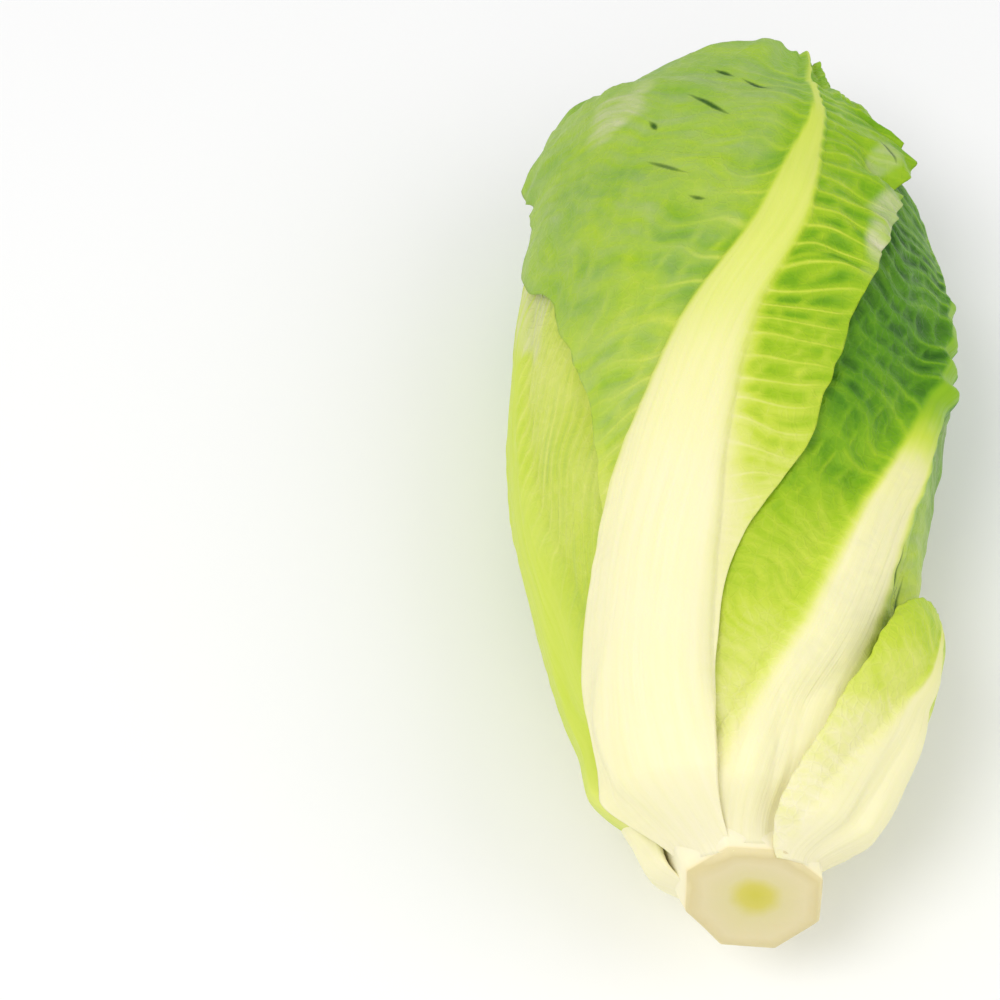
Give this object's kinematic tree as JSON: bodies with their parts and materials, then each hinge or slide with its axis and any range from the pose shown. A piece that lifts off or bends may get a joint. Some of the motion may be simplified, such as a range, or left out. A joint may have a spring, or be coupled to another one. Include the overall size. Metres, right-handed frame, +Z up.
{
  "type": "romaine lettuce head",
  "caption": "Upright-leaved lettuce head lying on its side, long waved leaves with broad pale ribs wrapped round a closed heart, stem cut flat.",
  "frame": {"origin": "middle of the head's box, at the height of the surface that it lies on", "axes": "+Y along the head from the stem's cut face to the leaf tips, +Z up as the head lies"},
  "size_m": [0.1334, 0.2884, 0.1033],
  "materials": {
    "outer_green": "satin leaf, mid green with pale veins and a cream rib",
    "inner_green": "satin leaf, yellow-green",
    "stem_cream": "moist cut stem, cream with a yellow-green middle"
  },
  "bodies": {
    "root": {"stem": "stem_cream", "heart": "inner_green", "stub_leaf": "outer_green", "front_leaf": "outer_green", "under_leaf": "outer_green", "right_leaf": "outer_green", "left_leaf": "outer_green", "back_left_leaf": "outer_green", "back_right_leaf": "outer_green", "inner_leaf_01": "inner_green", "inner_leaf_02": "inner_green", "inner_leaf_03": "inner_green", "inner_leaf_04": "inner_green", "inner_leaf_05": "inner_green", "inner_leaf_06": "inner_green", "inner_leaf_07": "inner_green", "inner_leaf_08": "inner_green", "inner_leaf_09": "inner_green", "inner_leaf_10": "inner_green", "inner_leaf_11": "inner_green"}
  },
  "joints": []
}
